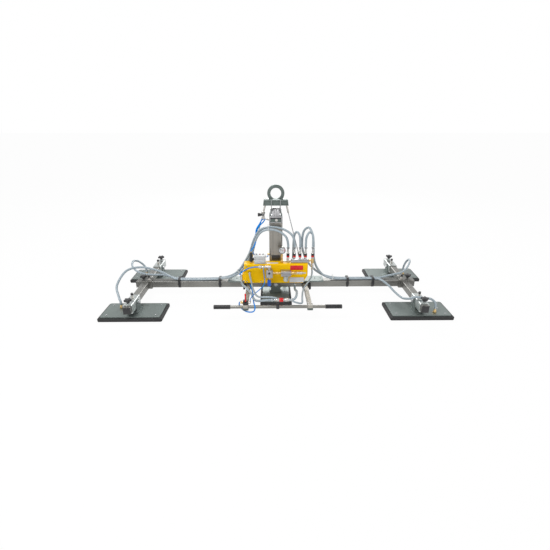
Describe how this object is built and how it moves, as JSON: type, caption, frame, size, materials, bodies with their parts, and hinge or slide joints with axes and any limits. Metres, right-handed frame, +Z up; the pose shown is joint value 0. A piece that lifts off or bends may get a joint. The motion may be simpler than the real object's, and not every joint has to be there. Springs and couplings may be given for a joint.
{
  "type": "pneumatic vacuum lifter",
  "caption": "Below-the-hook vacuum lifter: a load beam with sliding suction pads, a tank with valves, a cylinder and spreader above, and a T-bar handle.",
  "frame": {"origin": "on the floor under the middle of the load beam, where the pad seals stand", "axes": "+Z up, +X along the load beam to the right as the operator sees it, -Y towards the handle"},
  "size_m": [2.395, 0.89, 0.831],
  "materials": {
    "zinc": "zinc plated, satin",
    "beam_grey": "plated steel tube, satin",
    "aluminium": "satin",
    "yellow": "powder coat, semi-gloss",
    "white": "moulded, satin",
    "black": "moulded, satin",
    "rubber": "matt",
    "red": "anodised or moulded, satin",
    "brass": "machined",
    "steel": "bright",
    "hose": "smooth PVC, semi-gloss"
  },
  "bodies": {
    "root": {"main_beam": "beam_grey", "carrier": "zinc", "spreader": "zinc", "clevis_block": "aluminium", "cylinder_head": "aluminium", "cylinder_barrel": "aluminium", "piston_rod": "steel", "rope_left": "steel", "rope_right": "steel", "tank": "yellow", "control_box": "white", "manifold": "aluminium", "gauge_case": "steel", "air_unit": "brass", "supply_valve": "brass", "hose_front_left": "hose", "hose_rear_left": "hose", "hose_centre": "hose", "hose_front_right": "hose", "hose_rear_right": "hose", "hose_handle_left": "hose", "hose_handle_right": "hose"},
    "cross_left": {"cross_beam_left": "zinc"},
    "cross_knob_left": {"cross_knob_left": "black"},
    "sleeve_front_left": {"pad_sleeve_front_left": "zinc"},
    "pad_front_left": {"pad_front_left": "zinc", "pad_seal_front_left": "rubber"},
    "pad_knob_front_left": {"pad_knob_front_left": "black"},
    "sleeve_rear_left": {"pad_sleeve_rear_left": "zinc"},
    "pad_rear_left": {"pad_rear_left": "zinc", "pad_seal_rear_left": "rubber"},
    "pad_knob_rear_left": {"pad_knob_rear_left": "black"},
    "cross_right": {"cross_beam_right": "zinc"},
    "cross_knob_right": {"cross_knob_right": "black"},
    "sleeve_front_right": {"pad_sleeve_front_right": "zinc"},
    "pad_front_right": {"pad_front_right": "zinc", "pad_seal_front_right": "rubber"},
    "pad_knob_front_right": {"pad_knob_front_right": "black"},
    "sleeve_rear_right": {"pad_sleeve_rear_right": "zinc"},
    "pad_rear_right": {"pad_rear_right": "zinc", "pad_seal_rear_right": "rubber"},
    "pad_knob_rear_right": {"pad_knob_rear_right": "black"},
    "pad_centre": {"pad_centre": "zinc", "pad_seal_centre": "rubber"},
    "handle": {"handle_arm_left": "aluminium", "handle_arm_right": "aluminium", "handle_bar": "aluminium", "lever_valve": "black", "slide_valve": "steel"},
    "handle_knob_left": {"handle_knob_left": "black"},
    "handle_knob_right": {"handle_knob_right": "black"},
    "red_lever": {"red_lever": "red"},
    "slide_sleeve": {"slide_sleeve": "red"},
    "valve_sleeve_1": {"valve_sleeve_1": "black"},
    "valve_sleeve_2": {"valve_sleeve_2": "black"},
    "valve_sleeve_3": {"valve_sleeve_3": "black"},
    "valve_sleeve_4": {"valve_sleeve_4": "black"},
    "valve_sleeve_5": {"valve_sleeve_5": "black"},
    "gauge_pointer": {"gauge_pointer": "black"},
    "supply_lever": {"supply_lever": "black"}
  },
  "joints": [
    {"name": "cross_slide_left", "type": "slide", "parent": "root", "child": "cross_left", "axis": [1, 0, 0], "range_m": [0, 0.18], "deforming": ["hose_front_left", "hose_rear_left"]},
    {"name": "cross_knob_turn_left", "type": "hinge", "parent": "cross_left", "child": "cross_knob_left", "pos_m": [-1.0075, 0, 0.1216], "axis": [0, 0, 1], "range_deg": [-180, 180]},
    {"name": "pad_slide_front_left", "type": "slide", "parent": "cross_left", "child": "sleeve_front_left", "axis": [0, 1, 0], "range_m": [0, 0.15], "deforming": ["hose_front_left"]},
    {"name": "pad_tilt_front_left", "type": "hinge", "parent": "sleeve_front_left", "child": "pad_front_left", "pos_m": [-0.9825, -0.317, 0.09], "axis": [1, 0, 0], "range_deg": [-8, 8], "deforming": ["hose_front_left"]},
    {"name": "pad_knob_turn_front_left", "type": "hinge", "parent": "sleeve_front_left", "child": "pad_knob_front_left", "pos_m": [-0.9825, -0.405, 0.1261], "axis": [0, 0, 1], "range_deg": [-180, 180]},
    {"name": "pad_slide_rear_left", "type": "slide", "parent": "cross_left", "child": "sleeve_rear_left", "axis": [0, -1, 0], "range_m": [0, 0.15], "deforming": ["hose_rear_left"]},
    {"name": "pad_tilt_rear_left", "type": "hinge", "parent": "sleeve_rear_left", "child": "pad_rear_left", "pos_m": [-0.9825, 0.317, 0.09], "axis": [1, 0, 0], "range_deg": [-8, 8], "deforming": ["hose_rear_left"]},
    {"name": "pad_knob_turn_rear_left", "type": "hinge", "parent": "sleeve_rear_left", "child": "pad_knob_rear_left", "pos_m": [-0.9825, 0.405, 0.1261], "axis": [0, 0, 1], "range_deg": [-180, 180]},
    {"name": "cross_slide_right", "type": "slide", "parent": "root", "child": "cross_right", "axis": [-1, 0, 0], "range_m": [0, 0.18], "deforming": ["hose_front_right", "hose_rear_right"]},
    {"name": "cross_knob_turn_right", "type": "hinge", "parent": "cross_right", "child": "cross_knob_right", "pos_m": [1.0075, 0, 0.1216], "axis": [0, 0, 1], "range_deg": [-180, 180]},
    {"name": "pad_slide_front_right", "type": "slide", "parent": "cross_right", "child": "sleeve_front_right", "axis": [0, 1, 0], "range_m": [0, 0.15], "deforming": ["hose_front_right"]},
    {"name": "pad_tilt_front_right", "type": "hinge", "parent": "sleeve_front_right", "child": "pad_front_right", "pos_m": [0.9825, -0.317, 0.09], "axis": [1, 0, 0], "range_deg": [-8, 8], "deforming": ["hose_front_right"]},
    {"name": "pad_knob_turn_front_right", "type": "hinge", "parent": "sleeve_front_right", "child": "pad_knob_front_right", "pos_m": [0.9825, -0.405, 0.1261], "axis": [0, 0, 1], "range_deg": [-180, 180]},
    {"name": "pad_slide_rear_right", "type": "slide", "parent": "cross_right", "child": "sleeve_rear_right", "axis": [0, -1, 0], "range_m": [0, 0.15], "deforming": ["hose_rear_right"]},
    {"name": "pad_tilt_rear_right", "type": "hinge", "parent": "sleeve_rear_right", "child": "pad_rear_right", "pos_m": [0.9825, 0.317, 0.09], "axis": [1, 0, 0], "range_deg": [-8, 8], "deforming": ["hose_rear_right"]},
    {"name": "pad_knob_turn_rear_right", "type": "hinge", "parent": "sleeve_rear_right", "child": "pad_knob_rear_right", "pos_m": [0.9825, 0.405, 0.1261], "axis": [0, 0, 1], "range_deg": [-180, 180]},
    {"name": "pad_tilt_centre", "type": "hinge", "parent": "root", "child": "pad_centre", "pos_m": [0, 0, 0.09], "axis": [0, 1, 0], "range_deg": [-8, 8], "deforming": ["hose_centre"]},
    {"name": "handle_tilt", "type": "hinge", "parent": "root", "child": "handle", "pos_m": [0.009, -0.061, 0.086], "axis": [-1, 0, 0], "range_deg": [0, 24], "deforming": ["hose_handle_left", "hose_handle_right"]},
    {"name": "handle_knob_turn_left", "type": "hinge", "parent": "handle", "child": "handle_knob_left", "pos_m": [-0.1814, -0.061, 0.086], "axis": [-1, 0, 0], "range_deg": [-180, 180]},
    {"name": "handle_knob_turn_right", "type": "hinge", "parent": "handle", "child": "handle_knob_right", "pos_m": [0.1994, -0.061, 0.086], "axis": [1, 0, 0], "range_deg": [-180, 180]},
    {"name": "red_lever_tilt", "type": "hinge", "parent": "handle", "child": "red_lever", "pos_m": [-0.204, -0.42, 0.1473], "axis": [1, 0, 0], "range_deg": [-30, 30]},
    {"name": "hand_valve_slide", "type": "slide", "parent": "handle", "child": "slide_sleeve", "axis": [1, 0, 0], "range_m": [0, 0.012]},
    {"name": "valve_slide_1", "type": "slide", "parent": "root", "child": "valve_sleeve_1", "axis": [0, 0, 1], "range_m": [0, 0.007]},
    {"name": "valve_slide_2", "type": "slide", "parent": "root", "child": "valve_sleeve_2", "axis": [0, 0, 1], "range_m": [0, 0.007]},
    {"name": "valve_slide_3", "type": "slide", "parent": "root", "child": "valve_sleeve_3", "axis": [0, 0, 1], "range_m": [0, 0.007]},
    {"name": "valve_slide_4", "type": "slide", "parent": "root", "child": "valve_sleeve_4", "axis": [0, 0, 1], "range_m": [0, 0.007]},
    {"name": "valve_slide_5", "type": "slide", "parent": "root", "child": "valve_sleeve_5", "axis": [0, 0, 1], "range_m": [0, 0.007]},
    {"name": "gauge_turn", "type": "hinge", "parent": "root", "child": "gauge_pointer", "pos_m": [0.043, -0.1073, 0.3885], "axis": [0, 1, 0], "range_deg": [-75, 195]},
    {"name": "supply_lever_turn", "type": "hinge", "parent": "root", "child": "supply_lever", "pos_m": [-0.08968, -0.0503, 0.632], "axis": [0, 1, 0], "range_deg": [0, 90]}
  ]
}
